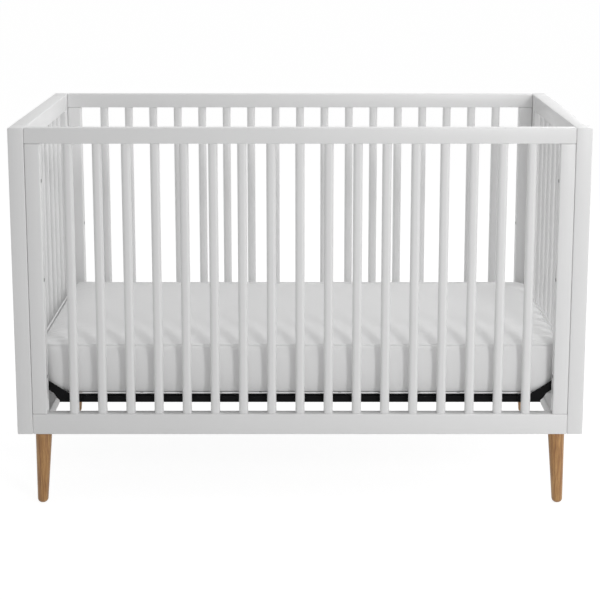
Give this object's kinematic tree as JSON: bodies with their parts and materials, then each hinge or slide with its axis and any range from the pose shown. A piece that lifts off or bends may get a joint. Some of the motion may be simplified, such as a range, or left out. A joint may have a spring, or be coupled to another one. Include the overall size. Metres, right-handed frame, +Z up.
{
  "type": "baby crib",
  "caption": "Baby crib with fixed slatted sides, turned splayed legs, a height-adjustable steel mattress support and a lift-out mattress.",
  "frame": {"origin": "on the floor under the middle of the crib", "axes": "+X along the crib's length towards its right end, -Y towards its front, +Z up"},
  "size_m": [1.407, 0.775, 0.95],
  "materials": {
    "white_paint": "satin",
    "clear_wood": "satin",
    "black_enamel": "satin",
    "zinc_plate": "satin",
    "white_cotton": "matte"
  },
  "bodies": {
    "crib_frame": {"front_top_rail": "white_paint", "front_bottom_rail": "white_paint", "front_left_stile": "white_paint", "front_right_stile": "white_paint", "back_top_rail": "white_paint", "back_bottom_rail": "white_paint", "back_left_stile": "white_paint", "back_right_stile": "white_paint", "front_slat_01": "white_paint", "front_slat_02": "white_paint", "front_slat_03": "white_paint", "front_slat_04": "white_paint", "front_slat_05": "white_paint", "front_slat_06": "white_paint", "front_slat_07": "white_paint", "front_slat_08": "white_paint", "front_slat_09": "white_paint", "front_slat_10": "white_paint", "front_slat_11": "white_paint", "front_slat_12": "white_paint", "front_slat_13": "white_paint", "front_slat_14": "white_paint", "front_slat_15": "white_paint", "front_slat_16": "white_paint", "front_slat_17": "white_paint", "back_slats": "white_paint", "left_end_front_post": "white_paint", "left_end_back_post": "white_paint", "left_end_top_rail": "white_paint", "left_end_bottom_rail": "white_paint", "left_end_slats": "white_paint", "left_end_batten": "white_paint", "right_end_front_post": "white_paint", "right_end_back_post": "white_paint", "right_end_top_rail": "white_paint", "right_end_bottom_rail": "white_paint", "right_end_slats": "white_paint", "right_end_batten": "white_paint", "front_left_leg": "clear_wood", "front_right_leg": "clear_wood", "back_left_leg": "clear_wood", "back_right_leg": "clear_wood", "front_left_leg_bolt": "zinc_plate", "front_right_leg_bolt": "zinc_plate", "back_left_leg_bolt": "zinc_plate", "back_right_leg_bolt": "zinc_plate"},
    "mattress_support": {"support_frame": "black_enamel", "deck_lattice": "black_enamel", "front_left_bracket": "black_enamel", "front_right_bracket": "black_enamel", "back_left_bracket": "black_enamel", "back_right_bracket": "black_enamel", "front_left_bracket_bolt": "zinc_plate", "front_right_bracket_bolt": "zinc_plate", "back_left_bracket_bolt": "zinc_plate", "back_right_bracket_bolt": "zinc_plate"},
    "mattress_body": {"mattress": "white_cotton"}
  },
  "joints": [
    {"name": "support_height", "type": "slide", "parent": "crib_frame", "child": "mattress_support", "axis": [0, 0, 1], "range_m": [0, 0.2286]},
    {"name": "mattress_lift", "type": "slide", "parent": "mattress_support", "child": "mattress_body", "axis": [0, 0, 1], "range_m": [0, 0.75]}
  ]
}
